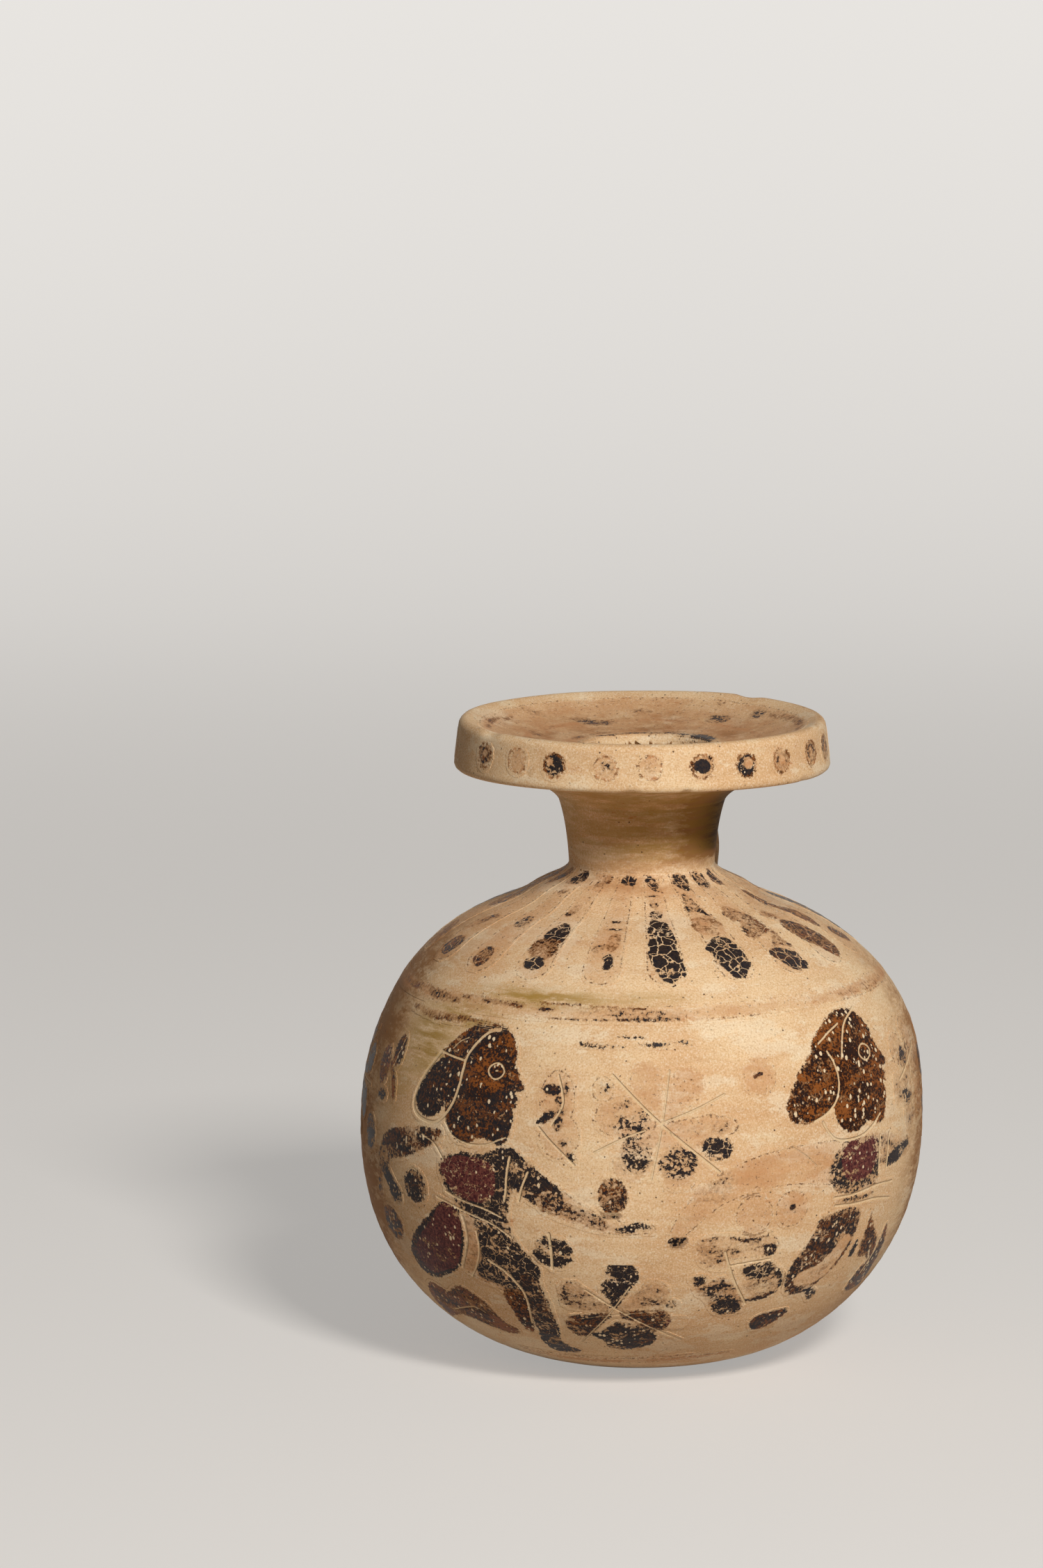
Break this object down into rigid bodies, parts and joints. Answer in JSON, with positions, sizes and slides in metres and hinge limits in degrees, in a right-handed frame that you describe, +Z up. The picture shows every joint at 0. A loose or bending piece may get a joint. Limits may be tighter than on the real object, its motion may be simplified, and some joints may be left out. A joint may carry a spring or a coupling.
{
  "type": "aryballos",
  "caption": "Round-bodied clay oil flask with a narrow neck, a broad dished mouth disc with a small orifice, and one vertical strap handle.",
  "frame": {"origin": "centre of the flat foot that the flask stands on", "axes": "+Z up along the turning axis, -Y towards the painted front, +Y towards the handle, +X to the right seen from the front"},
  "size_m": [0.105, 0.105, 0.1196],
  "materials": {
    "buff_clay": "smoothed, unglazed, matt",
    "black_slip": "thin fired slip, worn and crackled",
    "purple_slip": "matt added purple-red over black slip"
  },
  "bodies": {
    "root": {"body": "buff_clay", "neck": "buff_clay", "mouth_disc": "buff_clay", "handle": "buff_clay"}
  },
  "joints": []
}
